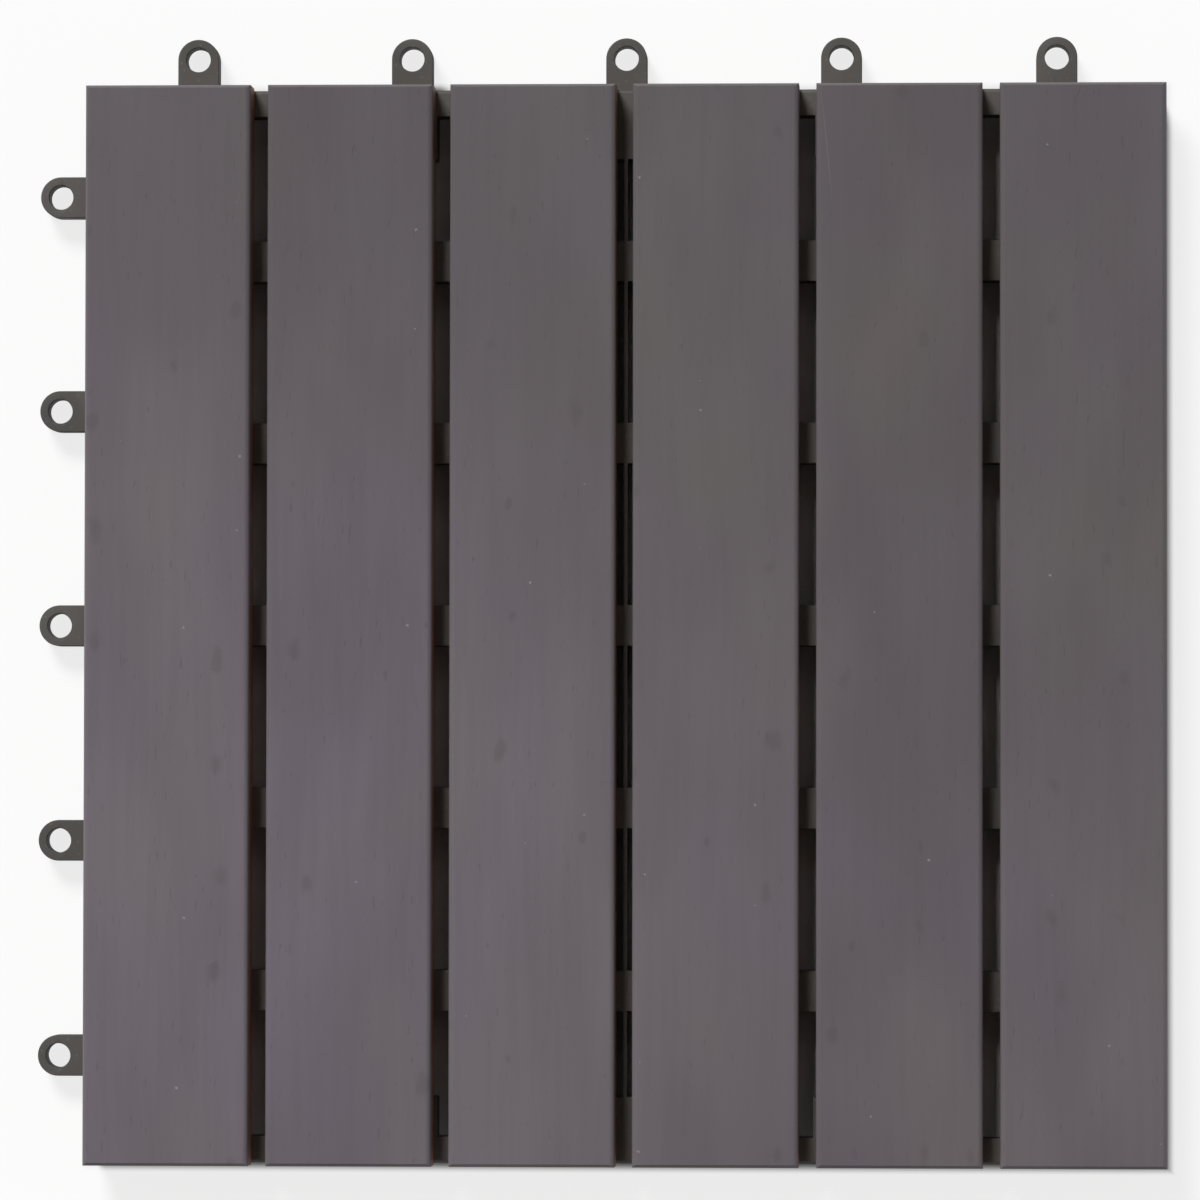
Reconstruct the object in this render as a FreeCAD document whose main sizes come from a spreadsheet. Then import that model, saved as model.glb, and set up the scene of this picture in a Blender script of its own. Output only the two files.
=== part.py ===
# Interlocking deck tile: six hardwood slats on a moulded lattice base with clip loops and pegs.
# The row frame: X runs across the slats, Y along them, Z up, with the origin on the ground
# under the centre of the slat field. Loops stand out on -X and +Y, pegs hang on +X and -Y.
import FreeCAD, Part

import math
import os

import Sketcher

Vector = FreeCAD.Vector

SLAT_COUNT = 6
CLIP_COUNT = 5
CROSSBAR_COUNT = 5

SIZES = (
    ("slat_width", 46.0, "one slat across its grain"),
    ("slat_gap", 4.8, "open joint between two slats"),
    ("slat_length", 300.0, "one slat along its grain"),
    ("slat_thickness", 12.0, "one slat from underside to tread"),
    ("slat_edge_radius", 1.5, "eased long edges of the tread"),
    ("slat_end_chamfer", 0.8, "eased end edges of the tread"),
    ("base_height", 12.0, "ground to the seat of the slats"),
    ("base_inset", 0.5, "edge of the moulding behind the edge of the slats"),
    ("corner_radius", 3.0, "upright corners of the moulding"),
    ("foot_height", 3.0, "ground to the underside of the ribs"),
    ("plate_thickness", 2.0, "top plate of the rim, crossbars and clip seats"),
    ("wall_thickness", 1.6, "upright walls and ribs"),
    ("rim_width", 7.4, "outer channel of the moulding"),
    ("rim_chamfer", 0.8, "outer top edge of the rim"),
    ("crossbar_pitch", 50.8, "crossbar to crossbar"),
    ("crossbar_width", 11.4, "one crossbar over its walls"),
    ("middle_rib_thickness", 1.2, "thin rib under the middle joint"),
    ("clip_pitch", 60.0, "clip to clip along an edge"),
    ("clip_reach", 8.5, "slat edge to the centre of a loop, and to the axis of a peg"),
    ("loop_radius", 5.7, "outside of a loop"),
    ("loop_bore_radius", 3.4, "hole of a loop"),
    ("loop_bottom", 2.0, "ground to the underside of a loop"),
    ("loop_depth", 7.0, "one loop from underside to top"),
    ("loop_root", 20.0, "slat edge to the back wall of the seat that roots a loop"),
    ("peg_clearance", 0.2, "peg to the hole of a loop, on the radius"),
    ("peg_bottom", 2.2, "ground to the tip of a peg"),
    ("peg_chamfer", 0.8, "lead-in at the tip of a peg"),
    ("pocket_clearance", 0.5, "side of a loop to the wall of the pocket that takes it"),
    ("pocket_depth", 17.4, "slat edge to the back of a pocket"),
    ("screw_radius", 1.75, "shank of a screw"),
    ("screw_hole_clearance", 0.25, "shank to the hole in the moulding, on the radius"),
    ("screw_bite", 8.0, "length of a screw inside its slat"),
    ("screw_head_width", 5.5, "head of a screw across its flats"),
    ("screw_head_height", 2.4, "head of a screw"),
    ("foot_width", 10.0, "one foot along its channel"),
    ("foot_draft", 8.0, "lean of a foot's sides, in degrees"),
)

document = FreeCAD.newDocument("deck_tile")
sheet = document.addObject("Spreadsheet::Sheet", "sizes")
for row, (alias, value, meaning) in enumerate(SIZES, start=1):
    sheet.set(f"A{row}", meaning)
    sheet.set(f"B{row}", str(value))
    sheet.setAlias(f"B{row}", alias)
document.recompute()

# Lengths that follow from the sheet, as expressions
SLAT_PITCH = "(sizes.slat_width + sizes.slat_gap)"
HALF_FIELD = f"({SLAT_COUNT} * {SLAT_PITCH} - sizes.slat_gap) / 2"
HALF_LENGTH = "sizes.slat_length / 2"
EDGE_X = f"({HALF_FIELD} - sizes.base_inset)"
EDGE_Y = f"({HALF_LENGTH} - sizes.base_inset)"
INNER_X = f"({EDGE_X} - sizes.rim_width)"
INNER_Y = f"({EDGE_Y} - sizes.rim_width)"
PLATE_UNDERSIDE = "(sizes.base_height - sizes.plate_thickness)"
RIB_DEPTH = "(sizes.base_height - sizes.foot_height)"
CHANNEL_DEPTH = f"({PLATE_UNDERSIDE} - sizes.foot_height)"
FIRST_SLAT = f"({HALF_FIELD} - sizes.slat_width / 2)"
FIRST_CROSSBAR = f"({(CROSSBAR_COUNT - 1) / 2} * sizes.crossbar_pitch)"
PEG_RADIUS = "(sizes.loop_bore_radius - sizes.peg_clearance)"
FOOT_DRAFT = "-sizes.foot_draft"
HEXAGON_TURNS = [index * math.pi / 3 for index in range(6)]


def new_body(name):
    body = document.addObject("PartDesign::Body", name)
    body.Label = name
    return body


def origin_part(body, role):
    return next(item for item in body.Origin.OriginFeatures if item.Role == role)


def new_sketch(body, name, height, at_x="0", at_y="0", turn=0):
    """A level sketch at a height, moved and turned so that its own axes suit one edge."""
    sketch = body.newObject("Sketcher::SketchObject", name)
    sketch.AttachmentSupport = [(origin_part(body, "XY_Plane"), "")]
    sketch.MapMode = "FlatFace"
    turned = FreeCAD.Rotation(Vector(0, 0, 1), turn)
    sketch.AttachmentOffset = FreeCAD.Placement(Vector(), turned)
    for axis, text in (("x", at_x), ("y", at_y), ("z", height)):
        sketch.setExpression(f"AttachmentOffset.Base.{axis}", text)
    return sketch


def bind(sketch, kind, geometry, point, text):
    """Hold one coordinate of a point, or a radius, at an expression, starting from where it is."""
    if kind == "Radius":
        now = sketch.Geometry[geometry].Radius
        index = sketch.addConstraint(Sketcher.Constraint(kind, geometry, now))
    else:
        spot = sketch.getPoint(geometry, point)
        now = spot.x if kind == "DistanceX" else spot.y
        index = sketch.addConstraint(Sketcher.Constraint(kind, -1, 1, geometry, point, now))
    sketch.setExpression(f"Constraints[{index}]", text)


def draw_rectangle(sketch, left, right, low, high):
    corners = (Vector(1, 1), Vector(2, 1), Vector(2, 2), Vector(1, 2))
    first = sketch.GeometryCount
    for index in range(4):
        sketch.addGeometry(Part.LineSegment(corners[index], corners[(index + 1) % 4]))
    for index in range(4):
        after = first + (index + 1) % 4
        sketch.addConstraint(Sketcher.Constraint("Coincident", first + index, 2, after, 1))
        direction = "Horizontal" if index % 2 == 0 else "Vertical"
        sketch.addConstraint(Sketcher.Constraint(direction, first + index))
    bind(sketch, "DistanceX", first, 1, left)
    bind(sketch, "DistanceX", first + 1, 1, right)
    bind(sketch, "DistanceY", first, 1, low)
    bind(sketch, "DistanceY", first + 2, 1, high)


def draw_circle(sketch, at_x, at_y, radius):
    """A circle at a point, or on the sketch's own y axis where no x is given."""
    circle = sketch.addGeometry(Part.Circle(Vector(1, 1), Vector(0, 0, 1), 1))
    if at_x is None:
        sketch.addConstraint(Sketcher.Constraint("PointOnObject", circle, 3, -2))
    else:
        bind(sketch, "DistanceX", circle, 3, at_x)
    bind(sketch, "DistanceY", circle, 3, at_y)
    bind(sketch, "Radius", circle, None, radius)


def draw_hexagon(sketch, at_x, at_y, across_flats):
    """A regular hexagon around a point, with two corners on the line along x."""
    first = sketch.GeometryCount
    corners = [Vector(2 + math.cos(turn), 2 + math.sin(turn)) for turn in HEXAGON_TURNS]
    for index in range(6):
        sketch.addGeometry(Part.LineSegment(corners[index], corners[(index + 1) % 6]))
    for index, turn in enumerate(HEXAGON_TURNS):
        after = first + (index + 1) % 6
        sketch.addConstraint(Sketcher.Constraint("Coincident", first + index, 2, after, 1))
        out = f"{across_flats} / sqrt(3)"
        bind(sketch, "DistanceX", first + index, 1, f"{at_x} + {out} * cos({turn} rad)")
        bind(sketch, "DistanceY", first + index, 1, f"{at_y} + {out} * sin({turn} rad)")


def pad(body, name, sketch, length, down=False, draft="0"):
    feature = body.newObject("PartDesign::Pad", name)
    feature.Profile = sketch
    feature.Reversed = down
    feature.setExpression("Length", length)
    feature.setExpression("TaperAngle", draft)
    body.Tip = feature
    return feature


def pocket(body, name, sketch, depth, up=False, draft="0"):
    feature = body.newObject("PartDesign::Pocket", name)
    feature.Profile = sketch
    feature.Reversed = up
    feature.setExpression("Length", depth)
    feature.setExpression("TaperAngle", draft)
    body.Tip = feature
    return feature


def repeat(body, name, features, sketch, axis, spacing, count):
    """Copies of features in a row along one axis of their sketch."""
    feature = body.newObject("PartDesign::LinearPattern", name)
    feature.Originals = features
    feature.Direction = (sketch, [axis])
    feature.Occurrences = count
    feature.setExpression("Length", f"{spacing} * {count - 1}")
    body.Tip = feature
    return feature


def edges_where(shape, test):
    """Names of the edges whose middle point passes a test."""
    names = []
    for index, edge in enumerate(shape.Edges, start=1):
        middle = edge.valueAt((edge.FirstParameter + edge.LastParameter) / 2)
        if test(edge, middle):
            names.append(f"Edge{index}")
    return names


def ease(body, name, kind, amount, test):
    """A chamfer or fillet on the edges of the body's tip that pass a test."""
    document.recompute()
    tip = body.Tip
    feature = body.newObject(f"PartDesign::{kind}", name)
    feature.Base = (tip, edges_where(tip.Shape, test))
    feature.setExpression("Radius" if kind == "Fillet" else "Size", amount)
    body.Tip = feature
    return feature


def is_upright(edge):
    return abs(edge.tangentAt(edge.FirstParameter).z) > 0.99


# Slats
def make_slat(number):
    """One slat: a planed board with eased tread edges and two pilot holes in its underside."""
    body = new_body(f"slat_{number}")
    outline = new_sketch(body, f"slat_outline_{number}", "sizes.base_height")
    half_width = "sizes.slat_width / 2"
    draw_rectangle(outline, f"-{half_width}", half_width, f"-{HALF_LENGTH}", HALF_LENGTH)
    pad(body, f"slat_board_{number}", outline, "sizes.slat_thickness")
    top = sheet.base_height + sheet.slat_thickness

    def end_edge(edge, middle):
        return abs(middle.z - top) < 0.01 and abs(middle.x) < 1

    ease(body, f"slat_end_edges_{number}", "Chamfer", "sizes.slat_end_chamfer", end_edge)

    def long_edge(edge, middle):
        return abs(middle.z - top) < 0.01 and abs(middle.y) < 1

    ease(body, f"slat_long_edges_{number}", "Fillet", "sizes.slat_edge_radius", long_edge)
    holes = new_sketch(body, f"pilot_circles_{number}", "sizes.base_height")
    for along in (-1, 1):
        draw_circle(holes, None, f"{along} * {FIRST_CROSSBAR}", "sizes.screw_radius")
    pocket(body, f"pilot_holes_{number}", holes, "sizes.screw_bite", up=True)
    body.setExpression("Placement.Base.x", f"{number - 1} * {SLAT_PITCH} - {FIRST_SLAT}")
    return body


# Outer forms of the moulding
def make_rim():
    """A band around the tile with eased upright corners and a chamfered outer top edge."""
    body = new_body("rim")
    outline = new_sketch(body, "rim_outline", "sizes.foot_height")
    draw_rectangle(outline, f"-{EDGE_X}", EDGE_X, f"-{EDGE_Y}", EDGE_Y)
    pad(body, "rim_block", outline, RIB_DEPTH)

    def corner(edge, middle):
        return is_upright(edge)

    ease(body, "rim_corners", "Fillet", "sizes.corner_radius", corner)
    top = sheet.base_height

    def outer_top(edge, middle):
        return abs(middle.z - top) < 0.01

    ease(body, "rim_top_edge", "Chamfer", "sizes.rim_chamfer", outer_top)
    inside = new_sketch(body, "rim_inside", "sizes.base_height")
    draw_rectangle(inside, f"-{INNER_X}", INNER_X, f"-{INNER_Y}", INNER_Y)
    pocket(body, "rim_opening", inside, RIB_DEPTH)
    return body


def make_crossbars():
    """Bars across the slats that run into the rim."""
    body = new_body("crossbars")
    end = f"({INNER_X} + sizes.wall_thickness)"
    half = "sizes.crossbar_width / 2"
    bar = new_sketch(body, "crossbar_outline", "sizes.foot_height")
    draw_rectangle(bar, f"-{end}", end, f"-{FIRST_CROSSBAR} - {half}", f"-{FIRST_CROSSBAR} + {half}")
    solid = pad(body, "crossbar", bar, RIB_DEPTH)
    repeat(body, "crossbar_row", [solid], bar, "V_Axis", "sizes.crossbar_pitch", CROSSBAR_COUNT)
    return body


def make_slat_ribs():
    """Thin ribs along the slats, two under each, and a thinner one under the middle joint."""
    body = new_body("slat_ribs")
    end = f"({INNER_Y} + sizes.wall_thickness / 2)"
    half = "sizes.wall_thickness / 2"
    rib_count = 2 * SLAT_COUNT - 2
    first = f"({(rib_count - 1) / 4} * {SLAT_PITCH})"
    rib = new_sketch(body, "slat_rib_outline", "sizes.foot_height")
    draw_rectangle(rib, f"-{first} - {half}", f"-{first} + {half}", f"-{end}", end)
    solid = pad(body, "slat_rib", rib, RIB_DEPTH)
    repeat(body, "slat_rib_row", [solid], rib, "H_Axis", f"{SLAT_PITCH} / 2", rib_count)
    thin_half = "sizes.middle_rib_thickness / 2"
    middle = new_sketch(body, "middle_rib_outline", "sizes.foot_height")
    draw_rectangle(middle, f"-{thin_half}", thin_half, f"-{end}", end)
    pad(body, "middle_rib", middle, RIB_DEPTH)
    return body


# Clips. Each edge's sketches have their own x along the edge and y pointing out of the tile
EDGES = {
    "north": ("0", EDGE_Y, 0),
    "west": (f"-{EDGE_X}", "0", 90),
    "south": ("0", f"-{EDGE_Y}", 180),
    "east": (EDGE_X, "0", -90),
}
LOOP_EDGES = ("north", "west")
PEG_EDGES = ("south", "east")
LOOP_OUT = "(sizes.clip_reach + sizes.base_inset)"
PEG_OUT = "-(sizes.clip_reach - sizes.base_inset)"
CLIP_PLACES = [index - (CLIP_COUNT - 1) / 2 for index in range(CLIP_COUNT)]


def edge_sketch(body, name, edge, height):
    at_x, at_y, turn = EDGES[edge]
    return new_sketch(body, f"{name}_{edge}", height, at_x, at_y, turn)


def hold_along(sketch, round_shape, place):
    """Put the centre of a circle or arc at its place along the edge."""
    if place == 0:
        sketch.addConstraint(Sketcher.Constraint("PointOnObject", round_shape, 3, -2))
    else:
        bind(sketch, "DistanceX", round_shape, 3, f"{place} * sizes.clip_pitch")


def clip_circles(sketch, out, radius):
    """A circle at each clip of an edge, at a distance out of the edge."""
    for place in CLIP_PLACES:
        start = Vector(place * sheet.clip_pitch, 1)
        circle = sketch.addGeometry(Part.Circle(start, Vector(0, 0, 1), 1))
        hold_along(sketch, circle, place)
        bind(sketch, "DistanceY", circle, 3, out)
        bind(sketch, "Radius", circle, None, radius)


def clip_rectangles(sketch, half, back, front):
    """A rectangle at each clip of an edge, from behind the edge forwards."""
    for place in CLIP_PLACES:
        left = f"{place} * sizes.clip_pitch - {half}"
        right = f"{place} * sizes.clip_pitch + {half}"
        draw_rectangle(sketch, left, right, back, front)


def seat_size(edge):
    """Half the inside width of a clip seat, and how far its hollow reaches behind the edge."""
    if edge in LOOP_EDGES:
        return "sizes.loop_radius", "(sizes.loop_root - sizes.base_inset - sizes.wall_thickness)"
    return "(sizes.loop_radius + sizes.pocket_clearance)", "(sizes.pocket_depth - sizes.base_inset)"


def make_clip_seats():
    """Blocks behind the edges that root the loops and hold the pegs."""
    body = new_body("clip_seats")
    for edge in EDGES:
        half, depth = seat_size(edge)
        outline = edge_sketch(body, "seat_outline", edge, "sizes.foot_height")
        back = f"-({depth} + sizes.wall_thickness)"
        clip_rectangles(outline, f"({half} + sizes.wall_thickness)", back, "-sizes.wall_thickness")
        pad(body, f"seats_{edge}", outline, RIB_DEPTH)
    return body


def draw_loop(sketch, place):
    """Outline of one loop: a half round end with straight sides that run into the outer wall."""
    centre = Vector(place * sheet.clip_pitch, sheet.clip_reach + sheet.base_inset)
    across = Vector(sheet.loop_radius, 0)
    down = Vector(0, centre.y + sheet.wall_thickness)
    circle = Part.Circle(centre, Vector(0, 0, 1), sheet.loop_radius)
    arc = sketch.addGeometry(Part.ArcOfCircle(circle, 0, math.pi))
    side = sketch.addGeometry(Part.LineSegment(centre - across, centre - across - down))
    root = sketch.addGeometry(Part.LineSegment(centre - across - down, centre + across - down))
    other = sketch.addGeometry(Part.LineSegment(centre + across - down, centre + across))
    sketch.addConstraint(Sketcher.Constraint("Tangent", arc, 2, side, 1))
    sketch.addConstraint(Sketcher.Constraint("Coincident", side, 2, root, 1))
    sketch.addConstraint(Sketcher.Constraint("Coincident", root, 2, other, 1))
    sketch.addConstraint(Sketcher.Constraint("Tangent", other, 2, arc, 1))
    sketch.addConstraint(Sketcher.Constraint("Vertical", side))
    sketch.addConstraint(Sketcher.Constraint("Vertical", other))
    sketch.addConstraint(Sketcher.Constraint("Horizontal", root))
    hold_along(sketch, arc, place)
    bind(sketch, "DistanceY", arc, 3, LOOP_OUT)
    bind(sketch, "Radius", arc, None, "sizes.loop_radius")
    bind(sketch, "DistanceY", root, 1, "-sizes.wall_thickness")


def make_loops():
    """Loops that stand out of two edges, for a neighbour's pegs."""
    body = new_body("clip_loops")
    for edge in LOOP_EDGES:
        outline = edge_sketch(body, "loop_outline", edge, "sizes.loop_bottom")
        for place in CLIP_PLACES:
            draw_loop(outline, place)
        clip_circles(outline, LOOP_OUT, "sizes.loop_bore_radius")
        pad(body, f"loops_{edge}", outline, "sizes.loop_depth")
    return body


def make_pegs():
    """Pegs that hang from the plate of their seats and drop into a neighbour's loops."""
    body = new_body("clip_pegs")
    top = "(sizes.base_height - sizes.plate_thickness / 2)"
    shoulder = "(sizes.peg_bottom + sizes.peg_chamfer)"
    for edge in PEG_EDGES:
        shanks = edge_sketch(body, "peg_outline", edge, top)
        clip_circles(shanks, PEG_OUT, PEG_RADIUS)
        pad(body, f"peg_shanks_{edge}", shanks, f"{top} - {shoulder}", down=True)
        tips = edge_sketch(body, "peg_tip_outline", edge, shoulder)
        clip_circles(tips, PEG_OUT, PEG_RADIUS)
        pad(body, f"peg_tips_{edge}", tips, "sizes.peg_chamfer", down=True, draft="-30")
    return body


def make_feet():
    """Drafted feet that bridge the walls of the crossbars under the joints, and of the rim."""
    body = new_body("feet")
    half = "sizes.foot_width / 2"
    bar_half = "sizes.crossbar_width / 2"
    first_joint = f"({FIRST_SLAT} - {SLAT_PITCH} / 2)"
    inner = new_sketch(body, "bar_foot_outline", "sizes.foot_height")
    low = f"-{FIRST_CROSSBAR} - {bar_half}"
    high = f"-{FIRST_CROSSBAR} + {bar_half}"
    for joint in range(SLAT_COUNT - 1):
        centre = f"({joint} * {SLAT_PITCH} - {first_joint})"
        draw_rectangle(inner, f"{centre} - {half}", f"{centre} + {half}", low, high)
    solid = pad(body, "bar_foot", inner, "sizes.foot_height", down=True, draft=FOOT_DRAFT)
    repeat(body, "bar_feet", [solid], inner, "V_Axis", "sizes.crossbar_pitch", CROSSBAR_COUNT)
    for edge in EDGES:
        outline = edge_sketch(body, "rim_foot_outline", edge, "sizes.foot_height")
        for before, after in zip(CLIP_PLACES, CLIP_PLACES[1:]):
            middle = f"{(before + after) / 2} * sizes.clip_pitch"
            left = f"{middle} - {half}"
            right = f"{middle} + {half}"
            draw_rectangle(outline, left, right, "-sizes.rim_width", "-sizes.wall_thickness / 2")
        pad(body, f"rim_feet_{edge}", outline, "sizes.foot_height", down=True, draft=FOOT_DRAFT)
    return body


# What the moulding is cored out by, from below
def make_rim_channel():
    """The space between the two walls of the rim."""
    body = new_body("rim_channel")
    ring = new_sketch(body, "rim_channel_outline", "sizes.foot_height")
    for reach in ("sizes.wall_thickness", "(sizes.rim_width - sizes.wall_thickness)"):
        at_x = f"({EDGE_X} - {reach})"
        at_y = f"({EDGE_Y} - {reach})"
        draw_rectangle(ring, f"-{at_x}", at_x, f"-{at_y}", at_y)
    pad(body, "rim_hollow", ring, CHANNEL_DEPTH)
    return body


def make_crossbar_channels():
    """The space between the two walls of each crossbar."""
    body = new_body("crossbar_channels")
    half = "(sizes.crossbar_width / 2 - sizes.wall_thickness)"
    bar = new_sketch(body, "channel_outline", "sizes.foot_height")
    low = f"-{FIRST_CROSSBAR} - {half}"
    high = f"-{FIRST_CROSSBAR} + {half}"
    draw_rectangle(bar, f"-{INNER_X}", INNER_X, low, high)
    hollow = pad(body, "channel", bar, CHANNEL_DEPTH)
    repeat(body, "channel_row", [hollow], bar, "V_Axis", "sizes.crossbar_pitch", CROSSBAR_COUNT)
    return body


def at_first_screws(draw, sketch, size):
    """The same outline at both screw places of the first slat, on the outer crossbars."""
    for along in (-1, 1):
        draw(sketch, f"-{FIRST_SLAT}", f"{along} * {FIRST_CROSSBAR}", size)


def make_screw_holes():
    """Holes for the slats' screws through the plate of the outer crossbars."""
    body = new_body("screw_holes")
    circles = new_sketch(body, "screw_hole_circles", PLATE_UNDERSIDE)
    at_first_screws(draw_circle, circles, "sizes.screw_radius + sizes.screw_hole_clearance")
    hole = pad(body, "screw_hole", circles, "sizes.plate_thickness")
    repeat(body, "screw_hole_rows", [hole], circles, "H_Axis", SLAT_PITCH, SLAT_COUNT)
    return body


def make_clip_hollows():
    """Loop seats are hollow behind the outer wall; peg seats are open through it."""
    body = new_body("clip_hollows")
    for edge in EDGES:
        half, depth = seat_size(edge)
        front = "-sizes.wall_thickness" if edge in LOOP_EDGES else "sizes.base_inset"
        outline = edge_sketch(body, "hollow_outline", edge, "sizes.foot_height")
        clip_rectangles(outline, half, f"-{depth}", front)
        pad(body, f"hollows_{edge}", outline, CHANNEL_DEPTH)
    return body


def join(name, pieces):
    whole = document.addObject("Part::MultiFuse", name)
    whole.Shapes = pieces
    return whole


def cut_away(name, solid, tool):
    rest = document.addObject("Part::Cut", name)
    rest.Base = solid
    rest.Tool = tool
    return rest


def make_base():
    """The moulding: its outer forms less its cored hollows, in one cut."""
    seats = make_clip_seats()
    pegs = make_pegs()
    forms = [make_rim(), make_crossbars(), make_slat_ribs(), seats, make_loops(), pegs, make_feet()]
    channels = join("channels", [make_rim_channel(), make_crossbar_channels()])
    hollows = [
        cut_away("channels_beside_seats", channels, seats),
        cut_away("hollows_around_pegs", make_clip_hollows(), pegs),
        make_screw_holes(),
    ]
    base = cut_away("base_grid", join("outer_forms", forms), join("cored_hollows", hollows))
    base.Refine = True
    return base


# Screws
def make_screws():
    """All the screws, as separate solids: a hexagon head under the plate and a plain shank."""
    body = new_body("slat_screws")
    head = new_sketch(body, "head_outlines", PLATE_UNDERSIDE)
    at_first_screws(draw_hexagon, head, "sizes.screw_head_width")
    heads = pad(body, "head", head, "sizes.screw_head_height", down=True)
    shank = new_sketch(body, "shank_circles", PLATE_UNDERSIDE)
    at_first_screws(draw_circle, shank, "sizes.screw_radius")
    shanks = pad(body, "shank", shank, "sizes.plate_thickness + sizes.screw_bite")
    repeat(body, "screw_rows", [heads, shanks], head, "H_Axis", SLAT_PITCH, SLAT_COUNT)
    return body


pieces = [make_base()]
pieces += [make_slat(number) for number in range(1, SLAT_COUNT + 1)]
pieces.append(make_screws())
document.recompute()

# Nothing is written unless every object and every shape is sound
for item in document.Objects:
    if "Invalid" in item.State or "Error" in item.State:
        raise RuntimeError(f"{item.Name} failed: {item.State}")
for piece in pieces:
    if piece.Shape.isNull() or not piece.Shape.isValid():
        raise RuntimeError(f"{piece.Label} has no valid shape")

os.makedirs("parts", exist_ok=True)
for piece in pieces:
    piece.Shape.exportStep(f"parts/{piece.Label}.step")
    box = piece.Shape.BoundBox
    print(
        f"{piece.Label}: {len(piece.Shape.Solids)} solids, {len(piece.Shape.Faces)} faces, "
        f"{piece.Shape.Volume / 1000:.1f} cm3, X {box.XMin:.2f} to {box.XMax:.2f}, "
        f"Y {box.YMin:.2f} to {box.YMax:.2f}, Z {box.ZMin:.2f} to {box.ZMax:.2f}"
    )
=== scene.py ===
# %% [markdown]
# # A deck tile of stained slats on a moulded base
# The tile is six planed boards screwed from below onto a dark plastic lattice, with loops on two
# edges and pegs under the other two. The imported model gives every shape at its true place, so this
# lesson is mostly about surfaces: how stained wood, bare wood, moulded plastic and zinc are told
# apart by colour, gloss and small relief. The camera looks down on it, as at a tile on the ground.

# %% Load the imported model
import math

import bmesh
import bpy
from mathutils import Matrix, Vector


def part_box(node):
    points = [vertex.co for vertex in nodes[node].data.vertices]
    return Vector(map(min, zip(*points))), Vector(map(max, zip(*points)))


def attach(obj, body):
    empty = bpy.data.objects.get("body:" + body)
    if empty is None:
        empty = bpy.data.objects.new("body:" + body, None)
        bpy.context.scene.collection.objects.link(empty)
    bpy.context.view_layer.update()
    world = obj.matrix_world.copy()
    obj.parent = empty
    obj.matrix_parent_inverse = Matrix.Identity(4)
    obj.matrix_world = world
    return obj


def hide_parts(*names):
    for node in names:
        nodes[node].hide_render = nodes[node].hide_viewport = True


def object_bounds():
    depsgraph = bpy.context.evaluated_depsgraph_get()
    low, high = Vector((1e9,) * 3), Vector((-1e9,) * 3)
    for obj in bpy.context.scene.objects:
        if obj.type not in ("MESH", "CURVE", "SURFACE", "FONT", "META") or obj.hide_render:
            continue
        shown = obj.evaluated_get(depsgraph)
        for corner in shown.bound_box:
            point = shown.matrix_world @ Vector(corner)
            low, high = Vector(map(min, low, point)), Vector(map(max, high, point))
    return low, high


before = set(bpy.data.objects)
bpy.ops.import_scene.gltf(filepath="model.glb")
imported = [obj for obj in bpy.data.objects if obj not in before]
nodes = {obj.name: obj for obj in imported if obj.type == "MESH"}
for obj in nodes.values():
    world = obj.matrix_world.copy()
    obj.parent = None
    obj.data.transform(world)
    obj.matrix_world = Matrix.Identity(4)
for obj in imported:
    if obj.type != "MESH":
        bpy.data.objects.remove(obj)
cad_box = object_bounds()
SLATS = [name for name in sorted(nodes) if name.startswith("slat_") and name != "slat_screws"]
print("nodes:", sorted(nodes), "box:", [tuple(round(v, 4) for v in corner) for corner in cad_box])

# %% [markdown]
# ## Measures read from the model
# The finish depends on where a point lies on its slat: the tread is stained, the underside is bare.
# Those heights and widths are read from the model's own boxes, so that the paint follows the part.

# %% Read the measures
first_low, first_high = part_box(SLATS[0])
second_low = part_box(SLATS[1])[0]
slat_width = first_high.x - first_low.x
slat_pitch = second_low.x - first_low.x
slat_bottom = first_low.z
slat_top = first_high.z
slat_half_length = first_high.y
field_left = first_low.x
print(f"slats {slat_width * 1000:.1f} mm wide every {slat_pitch * 1000:.1f} mm")

# %% [markdown]
# ## Helpers for shader nodes
# A material is a graph of nodes, and a few helpers keep its cells short. One adds any node and fills
# its inputs, and four more make the kinds of node that come up most: a sum, a fade, a mix of colours
# and a noise. A glaze is a mix that lays one colour over another where a mask is. The last three
# start a shader group, place a group in a material, and start a material.


# %% Node helpers
def add(tree, kind, **settings):
    """A node of a tree, with properties by name and inputs by number or name in `inputs`."""
    inputs = settings.pop("inputs", {})
    node = tree.nodes.new(kind)
    for name, value in settings.items():
        setattr(node, name, value)
    for name, value in inputs.items():
        if isinstance(value, bpy.types.NodeSocket):
            tree.links.new(value, node.inputs[name])
        else:
            node.inputs[name].default_value = value
    return node


def maths(tree, operation, first, second=0.5):
    """One sum on one or two values, as a socket."""
    return add(tree, "ShaderNodeMath", operation=operation, inputs={0: first, 1: second}).outputs[0]


def fade(tree, value, low, high):
    """0 below low, 1 above high, and smooth between, as a socket."""
    node = add(
        tree,
        "ShaderNodeMapRange",
        interpolation_type="SMOOTHSTEP",
        inputs={"Value": value, "From Min": low, "From Max": high},
    )
    return node.outputs["Result"]


def mix(tree, amount, first, second, blend="MIX"):
    """Two colours mixed, as a socket."""
    node = add(tree, "ShaderNodeMix", data_type="RGBA", blend_type=blend)
    for socket, value in ((node.inputs[0], amount), (node.inputs[6], first), (node.inputs[7], second)):
        if isinstance(value, bpy.types.NodeSocket):
            tree.links.new(value, socket)
        else:
            socket.default_value = value
    return node.outputs[2]


def glaze(tree, under, mask, strength, colour):
    """A colour laid over another where a mask is, at most as strong as strength, as a socket."""
    return mix(tree, maths(tree, "MULTIPLY", mask, strength), under, colour)


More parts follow.
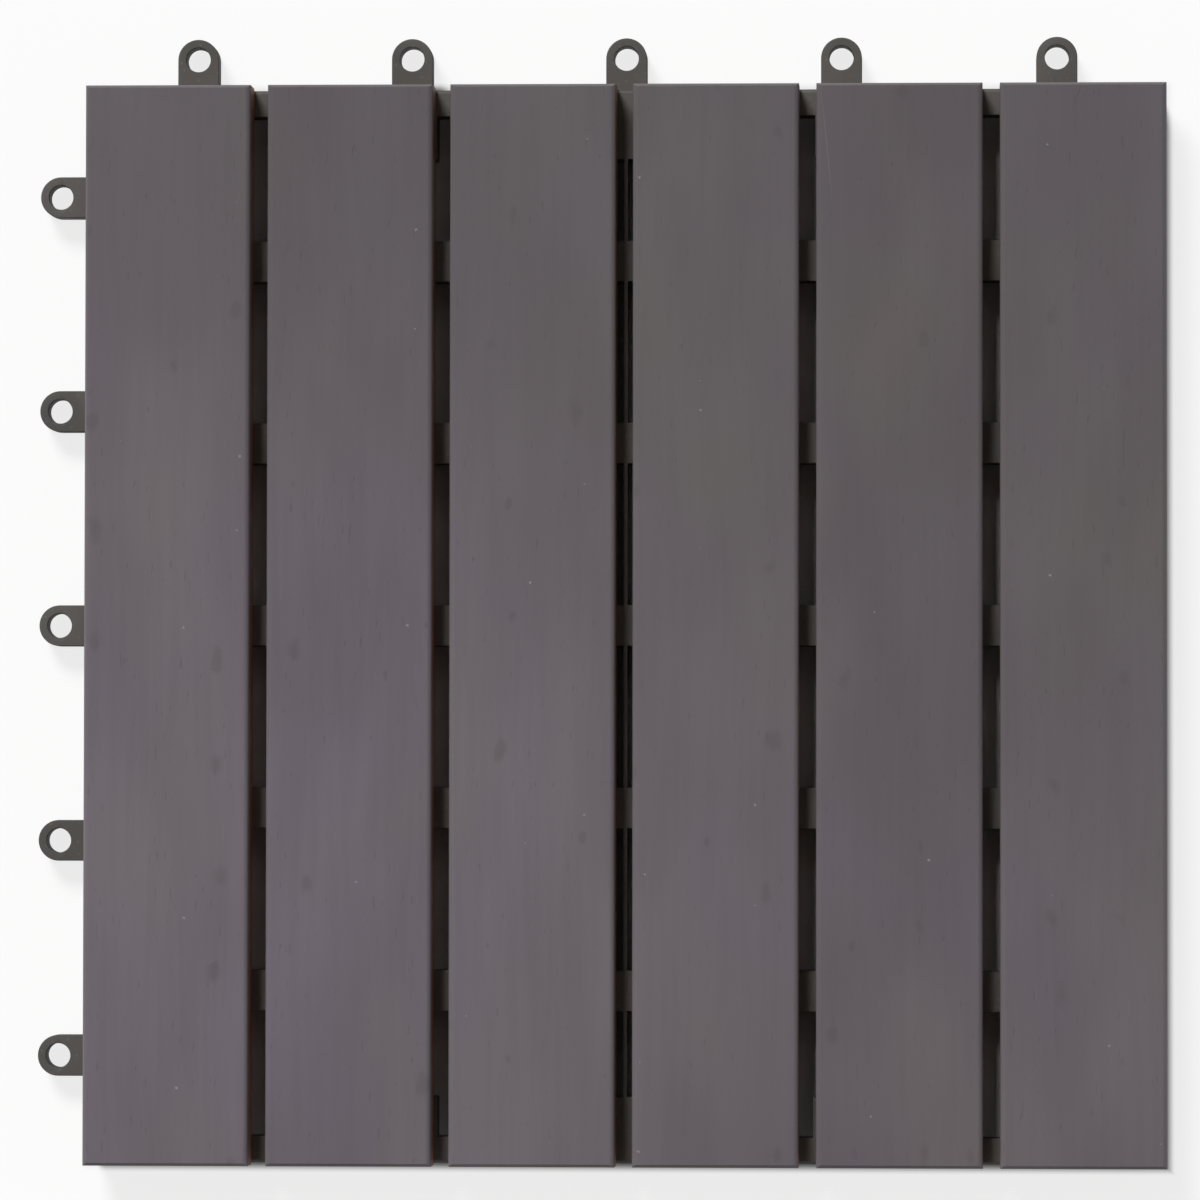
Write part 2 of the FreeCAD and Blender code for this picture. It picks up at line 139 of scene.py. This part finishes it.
def srgb(red, green, blue):
    """A colour measured on a screen, 0 to 255, as the linear colour that a shader takes."""
    parts = []
    for part in (red, green, blue):
        part = part / 255
        parts.append(part / 12.92 if part <= 0.04045 else ((part + 0.055) / 1.055) ** 2.4)
    return (*parts, 1.0)


def noise(tree, place, scale, detail=2.0, roughness=0.5):
    """Soft noise from 0 to 1 at a place, as a socket."""
    inputs = {"Vector": place, "Scale": scale, "Detail": detail, "Roughness": roughness}
    return add(tree, "ShaderNodeTexNoise", inputs=inputs).outputs["Fac"]


def new_group(name, wanted, given):
    """An empty shader group with named float or colour sockets."""
    group = bpy.data.node_groups.new(name, "ShaderNodeTree")
    for label, kind, value in wanted:
        socket = group.interface.new_socket(label, in_out="INPUT", socket_type=kind)
        if value is not None:
            socket.default_value = value
    for label, kind in given:
        group.interface.new_socket(label, in_out="OUTPUT", socket_type=kind)
    ends = group.nodes.new("NodeGroupInput"), group.nodes.new("NodeGroupOutput")
    return group, ends[0].outputs, ends[1].inputs


def use_group(tree, group, **values):
    """A shared effect placed in a material, with its own values."""
    node = add(tree, "ShaderNodeGroup", node_tree=group)
    for name, value in values.items():
        label = name.replace("_", " ")
        if isinstance(value, bpy.types.NodeSocket):
            tree.links.new(value, node.inputs[label])
        else:
            node.inputs[label].default_value = value
    return node.outputs


def new_material(name):
    """A material with one Principled shader, and its tree."""
    material = bpy.data.materials.new(name)
    material.use_nodes = True
    shader = material.node_tree.nodes["Principled BSDF"]
    return material, material.node_tree, shader


# %% [markdown]
# ## Grain, for stained and bare wood
# Boards are sawn along the trunk, so every streak, pore and vein runs along Y. Noise becomes grain
# when its coordinates are squeezed along the board, which needs no picture of wood. Each slat is cut
# from another place in the trunk, so the pattern is shifted by a step that depends on which slat a
# point lies on. The streaks change the colour; the pores are short dark dashes; both give a little
# relief. A last output is one random number for each slat, because no two boards take stain alike.

# %% Wood grain group
BOARD_STEP_Y = 0.731
BOARD_STEP_Z = 0.417
SWAY = 0.004
SWAYS_PER_METRE = 14.0
STREAK_SQUEEZE = 0.05
PORE_SQUEEZE = 0.16
PORE_STARTS = 0.77
PORE_FULL = 0.85
STREAK_RELIEF = 0.5

grain_group, grain_in, grain_out = new_group(
    "lengthwise_grain",
    [
        ("Position", "NodeSocketVector", None),
        ("Streak Scale", "NodeSocketFloat", 420.0),
        ("Pore Scale", "NodeSocketFloat", 1400.0),
    ],
    [
        ("Streaks", "NodeSocketFloat"),
        ("Pores", "NodeSocketFloat"),
        ("Height", "NodeSocketFloat"),
        ("Board", "NodeSocketFloat"),
    ],
)
tree = grain_group
parts = add(tree, "ShaderNodeSeparateXYZ", inputs={0: grain_in["Position"]})
from_left = maths(tree, "SUBTRACT", parts.outputs["X"], field_left)
board = maths(tree, "FLOOR", maths(tree, "DIVIDE", from_left, slat_pitch))
shifted_y = maths(tree, "ADD", parts.outputs["Y"], maths(tree, "MULTIPLY", board, BOARD_STEP_Y))
shifted_z = maths(tree, "ADD", parts.outputs["Z"], maths(tree, "MULTIPLY", board, BOARD_STEP_Z))
wave = noise(tree, grain_in["Position"], SWAYS_PER_METRE, detail=0.0)
swayed_x = maths(tree, "ADD", parts.outputs["X"], maths(tree, "MULTIPLY", wave, SWAY))
long_y = maths(tree, "MULTIPLY", shifted_y, STREAK_SQUEEZE)
along = add(tree, "ShaderNodeCombineXYZ", inputs={0: swayed_x, 1: long_y, 2: shifted_z})
streaks = noise(tree, along.outputs[0], grain_in["Streak Scale"], detail=3.0, roughness=0.6)
short_y = maths(tree, "MULTIPLY", shifted_y, PORE_SQUEEZE)
dashed = add(tree, "ShaderNodeCombineXYZ", inputs={0: parts.outputs["X"], 1: short_y, 2: shifted_z})
dashes = noise(tree, dashed.outputs[0], grain_in["Pore Scale"], detail=0.0)
pores = fade(tree, dashes, PORE_STARTS, PORE_FULL)
tree.links.new(streaks, grain_out["Streaks"])
tree.links.new(pores, grain_out["Pores"])
relief = maths(tree, "SUBTRACT", maths(tree, "MULTIPLY", streaks, STREAK_RELIEF), pores)
tree.links.new(relief, grain_out["Height"])
own_tone = add(tree, "ShaderNodeTexWhiteNoise", noise_dimensions="1D", inputs={"W": board})
tree.links.new(own_tone.outputs["Value"], grain_out["Board"])
print("group:", grain_group.name)

# %% [markdown]
# ## Blotches, shared by wood and plastic
# Stain takes unevenly and plastic cools unevenly. One slow noise moves a surface between two colours
# in patches, and the same group serves for all of them: Size is the width of a patch, from two
# centimetres to the whole tile, and a Stretch below one draws the patches out along the board.

# %% Blotch group
BLOTCH_STARTS = 0.3
BLOTCH_FULL = 0.7

blotch_group, blotch_in, blotch_out = new_group(
    "slow_blotches",
    [
        ("Position", "NodeSocketVector", None),
        ("Size", "NodeSocketFloat", 0.04),
        ("Stretch", "NodeSocketFloat", 0.35),
        ("Seed", "NodeSocketFloat", 0.0),
    ],
    [("Blotch", "NodeSocketFloat")],
)
tree = blotch_group
parts = add(tree, "ShaderNodeSeparateXYZ", inputs={0: blotch_in["Position"]})
drawn_y = maths(tree, "MULTIPLY", parts.outputs["Y"], blotch_in["Stretch"])
seeded_z = maths(tree, "ADD", parts.outputs["Z"], blotch_in["Seed"])
patch = add(tree, "ShaderNodeCombineXYZ", inputs={0: parts.outputs["X"], 1: drawn_y, 2: seeded_z})
per_metre = maths(tree, "DIVIDE", 1.0, blotch_in["Size"])
slow = noise(tree, patch.outputs[0], per_metre, detail=1.0, roughness=0.45)
tree.links.new(fade(tree, slow, BLOTCH_STARTS, BLOTCH_FULL), blotch_out["Blotch"])
print("group:", blotch_group.name)

# %% [markdown]
# ## Scattered marks, shared by wood and plastic
# Real surfaces carry single marks: a fleck of dust, a dent, a dark knot of stain, a scratch. A
# Voronoi texture puts one point in each cell of a loose grid, and a mark is what lies near enough to
# its point. Only a share of the cells gets one, chosen by the cell's own random colour. Squeezing Y
# draws the marks out along the board, and a lean turns them into slanting scratches. A noise as
# coarse as the mark frays its outline, so that none is a plain disc. The texture is flat, because in
# three dimensions a level face would miss nearly every point.

# %% Marks group
FRAY_FINENESS = 0.7
FRAY_DEPTH = 1.6
SMALLEST_SIZE = 0.4
SOLID_CORE = 0.2

marks_group, marks_in, marks_out = new_group(
    "scattered_marks",
    [
        ("Position", "NodeSocketVector", None),
        ("Spacing", "NodeSocketFloat", 0.012),
        ("Radius", "NodeSocketFloat", 0.0004),
        ("Share", "NodeSocketFloat", 0.3),
        ("Stretch", "NodeSocketFloat", 1.0),
        ("Lean", "NodeSocketFloat", 0.0),
        ("Seed", "NodeSocketFloat", 0.0),
    ],
    [("Mark", "NodeSocketFloat")],
)
tree = marks_group
parts = add(tree, "ShaderNodeSeparateXYZ", inputs={0: marks_in["Position"]})
leaned = maths(tree, "MULTIPLY", parts.outputs["Y"], marks_in["Lean"])
mark_x = maths(tree, "ADD", maths(tree, "ADD", parts.outputs["X"], leaned), marks_in["Seed"])
mark_y = maths(tree, "MULTIPLY", parts.outputs["Y"], marks_in["Stretch"])
flat = add(tree, "ShaderNodeCombineXYZ", inputs={0: mark_x, 1: mark_y})
cells = add(
    tree,
    "ShaderNodeTexVoronoi",
    voronoi_dimensions="2D",
    inputs={"Vector": flat.outputs[0], "Scale": maths(tree, "DIVIDE", 1.0, marks_in["Spacing"])},
)
away_from_point = maths(tree, "MULTIPLY", cells.outputs["Distance"], marks_in["Spacing"])
fray_scale = maths(tree, "DIVIDE", FRAY_FINENESS, marks_in["Radius"])
outline = noise(tree, flat.outputs[0], fray_scale, detail=0.0)
ragged = maths(tree, "MULTIPLY", maths(tree, "SUBTRACT", outline, 0.5), marks_in["Radius"])
frayed = maths(tree, "ADD", away_from_point, maths(tree, "MULTIPLY", ragged, FRAY_DEPTH))
chance = add(tree, "ShaderNodeSeparateColor", inputs={0: cells.outputs["Color"]})
own_size = maths(tree, "ADD", chance.outputs["Green"], SMALLEST_SIZE)
own_radius = maths(tree, "MULTIPLY", marks_in["Radius"], own_size)
core = maths(tree, "MULTIPLY", own_radius, SOLID_CORE)
near = maths(tree, "SUBTRACT", 1.0, fade(tree, frayed, core, own_radius))
chosen = maths(tree, "LESS_THAN", chance.outputs["Red"], marks_in["Share"])
tree.links.new(maths(tree, "MULTIPLY", near, chosen), marks_out["Mark"])
print("group:", marks_group.name)

# %% [markdown]
# ## Stained wood
# The boards are dipped in a grey-brown stain that lies evenly on the tread and fades on the lower
# half of the sides, where the brown wood shows. Under the tile they are bare. Two materials would
# meet in a hard line, so one material holds both finishes, and the height of a point decides which
# it has. Along the rounded edges the colour is painted lighter, a painted highlight where the rounds
# catch the light. Besides small patches, a painted light gradient runs over all six boards: a blotch
# as large as the tile multiplies the colour, lighter on one side and darker on the other.

# %% Masks on the wood
stained_wood, tree, shader = new_material("stained_wood")
place = add(tree, "ShaderNodeTexCoord").outputs["Object"]
grain = use_group(tree, grain_group, Position=place)
# The tile-wide blotch carries the painted light gradient over the six boards.
broad = use_group(tree, blotch_group, Position=place, Size=0.3, Stretch=1.0, Seed=13.08)["Blotch"]
small = use_group(tree, blotch_group, Position=place, Size=0.022, Stretch=0.4, Seed=5.0)["Blotch"]
tint = use_group(tree, blotch_group, Position=place, Size=0.045, Stretch=0.5, Seed=9.0)["Blotch"]
blush = use_group(tree, blotch_group, Position=place, Size=0.035, Stretch=0.7, Seed=13.0)["Blotch"]
knots = use_group(
    tree, marks_group, Position=place, Spacing=0.019, Radius=0.0021, Share=0.4, Stretch=0.6
)["Mark"]
flecks = use_group(
    tree, marks_group, Position=place, Spacing=0.016, Radius=0.0004, Share=0.14, Seed=3.1
)["Mark"]
scratches = use_group(
    tree,
    marks_group,
    Position=place,
    Spacing=0.026,
    Radius=0.0006,
    Share=0.12,
    Stretch=0.014,
    Lean=0.1,
    Seed=1.7,
)["Mark"]
print("masks on the wood: grain, four blotches, knots, flecks, scratches")

# %% Stain on the tread
PAINTED_SHADE_FACTOR = (0.86, 0.86, 0.82, 1.0)
PAINTED_LIGHT_FACTOR = (1.25, 1.24, 1.3, 1.0)
STREAK_STARTS = 0.35
STREAK_FULL = 0.75

stain = glaze(tree, srgb(94, 88, 93), tint, 0.45, srgb(101, 96, 91))
stain = glaze(tree, stain, blush, 0.4, srgb(96, 89, 100))
stain = glaze(tree, stain, small, 0.5, srgb(84, 77, 83))
stain = glaze(tree, stain, grain["Board"], 0.25, srgb(108, 103, 107))
# Painted light: the tile-wide blotch multiplies the colour, painting the boards lighter on one side and
# darker on the other.
painted_light_gradient = mix(tree, broad, PAINTED_SHADE_FACTOR, PAINTED_LIGHT_FACTOR)
stain = mix(tree, 1.0, stain, painted_light_gradient, "MULTIPLY")
strong_streaks = fade(tree, grain["Streaks"], STREAK_STARTS, STREAK_FULL)
stain = glaze(tree, stain, strong_streaks, 0.12, srgb(74, 69, 72))
stain = glaze(tree, stain, grain["Pores"], 0.2, srgb(62, 58, 58))
stain = glaze(tree, stain, knots, 0.3, srgb(70, 64, 66))
stain = glaze(tree, stain, scratches, 0.22, srgb(128, 123, 124))
stain = glaze(tree, stain, flecks, 0.45, srgb(170, 166, 166))
# The printed range is that of the painted light gradient.
print(f"stain drifts from {PAINTED_SHADE_FACTOR[0]:.2f} to {PAINTED_LIGHT_FACTOR[0]:.2f} of its own red")

# %% Bare wood below
BARE_BELOW = slat_bottom + 0.006
STAINED_ABOVE = slat_bottom + 0.0095
STAIN_LINE_WAVER = 0.002

# The bare wood follows the same tile-wide blotch, so it shares the painted light gradient.
bare = mix(tree, broad, srgb(130, 86, 54), srgb(150, 103, 68))
bare = glaze(tree, bare, grain["Streaks"], 0.6, srgb(104, 65, 40))
bare = glaze(tree, bare, grain["Pores"], 0.5, srgb(74, 44, 26))
height = add(tree, "ShaderNodeSeparateXYZ", inputs={0: place}).outputs["Z"]
uneven = maths(tree, "MULTIPLY", maths(tree, "SUBTRACT", small, 0.5), STAIN_LINE_WAVER)
stained = fade(tree, maths(tree, "ADD", height, uneven), BARE_BELOW, STAINED_ABOVE)
colour = mix(tree, stained, bare, stain)
print(f"bare below {BARE_BELOW * 1000:.1f} mm, stained above {STAINED_ABOVE * 1000:.1f} mm")

# %% Painted edge highlight, gloss and relief
HIGHLIGHT_FROM = 0.00012
HIGHLIGHT_FULL = 0.0005
HIGHLIGHT_FADES = 0.0012
HIGHLIGHT_ENDS = 0.002
EDGE_HIGHLIGHT = 0.35

below_tread = maths(tree, "SUBTRACT", slat_top, height)
# Painted highlight: a band along the rounded tread edges is painted lighter, where the rounds catch the
# light.
painted_highlight_on_round = maths(tree, "MULTIPLY", fade(tree, below_tread, HIGHLIGHT_FROM, HIGHLIGHT_FULL), EDGE_HIGHLIGHT)
above_side = maths(tree, "SUBTRACT", 1.0, fade(tree, below_tread, HIGHLIGHT_FADES, HIGHLIGHT_ENDS))
painted_edge_highlight = maths(tree, "MULTIPLY", painted_highlight_on_round, above_side)
# The painted highlight's colour is this lighter grey.
colour = mix(tree, painted_edge_highlight, colour, srgb(122, 118, 118))
tree.links.new(colour, shader.inputs["Base Color"])

rough = maths(tree, "ADD", maths(tree, "MULTIPLY", grain["Streaks"], 0.12), 0.5)
tree.links.new(rough, shader.inputs["Roughness"])
shader.inputs["Specular IOR Level"].default_value = 0.25
bump_inputs = {"Strength": 0.25, "Distance": 0.0003, "Height": grain["Height"]}
tree.links.new(add(tree, "ShaderNodeBump", inputs=bump_inputs).outputs[0], shader.inputs["Normal"])
for name in SLATS:
    nodes[name].material_slots[0].material = stained_wood
print("stained wood on", SLATS)

# %% [markdown]
# ## Moulded base
# The base is black polypropylene straight from the mould: a dark grey that never looks quite black,
# a satin face and a very fine spark-eroded texture that breaks up the highlights. What faces up keeps
# the plastic's own grey, paler in patches and flecked with dust, while walls and undersides are
# painted a much darker grey, a painted shade. The mask for that painted shade is the upward part of
# the surface's own normal, so it holds from every side.

# %% Moulded plastic material
PAINTED_SHADE_FADES = 0.3
PAINTED_SHADE_GONE = 0.8

moulded_plastic, tree, shader = new_material("moulded_plastic")
place = add(tree, "ShaderNodeTexCoord").outputs["Object"]
cloud = use_group(tree, blotch_group, Position=place, Size=0.02, Stretch=1.0, Seed=3.0)["Blotch"]
fine = noise(tree, place, 2600.0, detail=0.0)
dust = use_group(tree, marks_group, Position=place, Spacing=0.0024, Radius=0.0005, Share=0.4)["Mark"]
top_tone = mix(tree, cloud, srgb(76, 74, 71), srgb(88, 85, 82))
top_tone = glaze(tree, top_tone, dust, 0.3, srgb(112, 108, 104))
facing = add(tree, "ShaderNodeTexCoord").outputs["Normal"]
upward_part = add(tree, "ShaderNodeSeparateXYZ", inputs={0: facing}).outputs["Z"]
# Painted shade: walls and undersides get a much darker grey than the faces that look up.
plastic = mix(tree, fade(tree, upward_part, PAINTED_SHADE_FADES, PAINTED_SHADE_GONE), srgb(42, 40, 39), top_tone)
tree.links.new(plastic, shader.inputs["Base Color"])
rough = maths(tree, "ADD", maths(tree, "MULTIPLY", fine, 0.16), 0.55)
tree.links.new(rough, shader.inputs["Roughness"])
bump = add(tree, "ShaderNodeBump", inputs={"Strength": 0.2, "Distance": 0.0001, "Height": fine})
tree.links.new(bump.outputs[0], shader.inputs["Normal"])
shader.inputs["Specular IOR Level"].default_value = 0.2
nodes["base_grid"].material_slots[0].material = moulded_plastic
print("moulded plastic on base_grid")

# %% [markdown]
# ## Rounded edges of the moulding
# No moulding has a knife edge: the tool's corners leave rounds of about a quarter of a millimetre,
# and these catch the light as thin lines along every rib and loop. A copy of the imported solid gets
# them from a bevel. Its triangles are welded first, so that neighbours share their corners, and the
# bevel takes only edges that turn by more than the facets of a round wall do. The overlap clamp is
# off, because it would shrink the width to suit the shortest facet anywhere. Normals weighted by
# area then keep the level faces level and bend the light only on the rounds.

# %% Moulding with rounded edges
EDGE_ROUND = 0.00025
WELD_DISTANCE = 1e-6
SHARP_TURN = math.radians(35)
FLATTEN = 80

moulding_mesh = nodes["base_grid"].data.copy()
shape = bmesh.new()
shape.from_mesh(moulding_mesh)
bmesh.ops.remove_doubles(shape, verts=shape.verts, dist=WELD_DISTANCE)
for face in shape.faces:
    face.smooth = True
shape.to_mesh(moulding_mesh)
shape.free()
moulding = bpy.data.objects.new("base_moulding", moulding_mesh)
bpy.context.scene.collection.objects.link(moulding)
rounds = moulding.modifiers.new("edge_rounds", "BEVEL")
rounds.width = EDGE_ROUND
rounds.segments = 2
rounds.limit_method = "ANGLE"
rounds.angle_limit = SHARP_TURN
rounds.use_clamp_overlap = False
evened = moulding.modifiers.new("level_faces", "WEIGHTED_NORMAL")
evened.mode = "FACE_AREA"
evened.weight = FLATTEN
moulding_mesh.materials.clear()
moulding_mesh.materials.append(moulded_plastic)
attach(moulding, "root")
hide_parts("base_grid")
print("moulding:", len(moulding_mesh.polygons), "faces before the bevel")

# %% [markdown]
# ## Zinc-plated screws
# Only their heads show, from below. Plated steel is a metal with a fine, uneven sheen, so the
# roughness varies with a small noise and the colour stays a pale warm grey.

# %% Zinc material
zinc_plate, tree, shader = new_material("zinc_plate")
place = add(tree, "ShaderNodeTexCoord").outputs["Object"]
spangle = noise(tree, place, 900.0, detail=2.0, roughness=0.6)
zinc = mix(tree, spangle, srgb(176, 174, 168), srgb(204, 202, 196))
tree.links.new(zinc, shader.inputs["Base Color"])
rough = maths(tree, "ADD", maths(tree, "MULTIPLY", spangle, 0.2), 0.25)
tree.links.new(rough, shader.inputs["Roughness"])
shader.inputs["Metallic"].default_value = 1.0
nodes["slat_screws"].material_slots[0].material = zinc_plate
print("zinc on slat_screws")

# %% [markdown]
# ## Floor
# The tile lies on a plain pale floor. Lit like the tile, a pale floor comes out light grey, and more
# lamp would bleach the wood. So only the rays that show the background see it whitened, which leaves
# the light on the tile alone and keeps the tile's shadow. Between the slats the floor stays as it is
# lit, so that the joints keep their own depth.


# %% Floor
def white_to_the_eye(tree):
    """1 for the rays that show the background, straight, mirrored or through glass, as a socket."""
    rays = add(tree, "ShaderNodeLightPath").outputs
    shown = maths(tree, "MAXIMUM", rays["Is Camera Ray"], rays["Is Glossy Ray"])
    return maths(tree, "MAXIMUM", shown, rays["Is Transmission Ray"])


FLOOR_HALF_WIDTH = 6.0
PALE = (0.93, 0.93, 0.93, 1.0)
WHITENED = 0.8
PAST_THE_SLATS = slat_half_length + 0.003

floor_mesh = bpy.data.meshes.new("floor")
shape = bmesh.new()
bmesh.ops.create_grid(shape, x_segments=1, y_segments=1, size=FLOOR_HALF_WIDTH)
shape.to_mesh(floor_mesh)
shape.free()
floor = bpy.data.objects.new("floor", floor_mesh)
bpy.context.scene.collection.objects.link(floor)
floor_paint, tree, shader = new_material("pale_floor")
shader.inputs["Base Color"].default_value = PALE
shader.inputs["Roughness"].default_value = 0.9
shader.inputs["Specular IOR Level"].default_value = 0.1
spot = add(tree, "ShaderNodeSeparateXYZ", inputs={0: add(tree, "ShaderNodeTexCoord").outputs["Object"]})
out_x = maths(tree, "ABSOLUTE", spot.outputs["X"])
out_y = maths(tree, "ABSOLUTE", spot.outputs["Y"])
outside = fade(tree, maths(tree, "MAXIMUM", out_x, out_y), slat_half_length, PAST_THE_SLATS)
seen_outside = maths(tree, "MULTIPLY", outside, white_to_the_eye(tree))
whitened = maths(tree, "MULTIPLY", seen_outside, WHITENED)
white = add(tree, "ShaderNodeEmission").outputs[0]
blended = add(tree, "ShaderNodeMixShader", inputs={0: whitened, 1: shader.outputs[0], 2: white})
tree.links.new(blended.outputs[0], tree.nodes["Material Output"].inputs["Surface"])
floor_mesh.materials.append(floor_paint)
print(f"floor {2 * FLOOR_HALF_WIDTH:.0f} m wide")

# %% [markdown]
# ## Light
# One broad lamp stands beyond the far edge and a little to the left, so that the joints fill with
# shadow from their left side, as on a product table. The world stands for the walls of the studio:
# to the left and right they are bright, and the band over the tile is dark, so little light falls
# straight down the joints, and what is left there comes off the bare brown wood. A plain even world
# would be simpler, but it fills the joints with light. Lamp and walls together light a level face at
# about the strength of its own colour.

# %% Light
SKY = 0.25
LAMP = 0.72
LAMP_ANGLE = math.radians(20)
BAND_EDGE = 0.06
WALL_EDGE = 0.35
BAND_SHARE = 0.1

world = bpy.data.worlds.new("studio")
world.use_nodes = True
bpy.context.scene.world = world
sky = world.node_tree.nodes["Background"]
sky.inputs["Color"].default_value = (1.0, 1.0, 1.0, 1.0)
tree = world.node_tree
seen = white_to_the_eye(tree)
looking = add(tree, "ShaderNodeTexCoord").outputs["Generated"]
sideways = maths(tree, "ABSOLUTE", add(tree, "ShaderNodeSeparateXYZ", inputs={0: looking}).outputs["X"])
wall = maths(tree, "MULTIPLY", fade(tree, sideways, BAND_EDGE, WALL_EDGE), 1 - BAND_SHARE)
side_light = maths(tree, "MULTIPLY", maths(tree, "ADD", wall, BAND_SHARE), SKY)
strength = add(tree, "ShaderNodeMapRange", inputs={"Value": seen, "To Min": side_light, "To Max": 1.0})
tree.links.new(strength.outputs["Result"], sky.inputs["Strength"])

lamp_from = Vector((-0.29, 0.63, 0.72)).normalized()
lamp = bpy.data.lights.new("broad_lamp", "SUN")
lamp.energy = LAMP * math.pi / lamp_from.z
lamp.angle = LAMP_ANGLE
lamp_object = bpy.data.objects.new("broad_lamp", lamp)
lamp_object.rotation_mode = "QUATERNION"
lamp_object.rotation_quaternion = lamp_from.to_track_quat("Z", "Y")
bpy.context.scene.collection.objects.link(lamp_object)
print(f"lamp {lamp.energy:.2f}, walls {SKY:.2f}")

# %% [markdown]
# ## Camera
# The camera hangs two metres up, a little to the right of the tile and in front of it, so the left
# and far sides of the loops' holes show. A level view from straight above would be simpler, but it
# hides every side. The lens is long enough that the tile with its loops fills the frame, and the
# turn of the camera keeps the slats upright in the picture.

# %% Camera
STAND_RIGHT = 0.09
STAND_IN_FRONT = 0.06
STAND_HEIGHT = 2.0
FRAME_WIDTH = 0.334
SENSOR_WIDTH = 36.0

low, high = cad_box
centre = (low + high) / 2
stand = Vector((centre.x + STAND_RIGHT, centre.y - STAND_IN_FRONT, STAND_HEIGHT))
away = (stand - centre).normalized()
across = (Vector((1, 0, 0)) - away * away.x).normalized()
upward = away.cross(across)
turned = Matrix((across, upward, away)).transposed().to_4x4()
camera = bpy.data.cameras.new("camera")
camera.sensor_width = SENSOR_WIDTH
camera.lens = SENSOR_WIDTH * (stand - centre).length / FRAME_WIDTH
camera.clip_start = 0.05
camera_object = bpy.data.objects.new("camera", camera)
camera_object.matrix_world = Matrix.Translation(stand) @ turned
bpy.context.scene.collection.objects.link(camera_object)
bpy.context.scene.camera = camera_object
bpy.context.scene.view_settings.view_transform = "Standard"
print(f"camera {stand.z:.2f} m up, lens {camera.lens:.0f} mm")
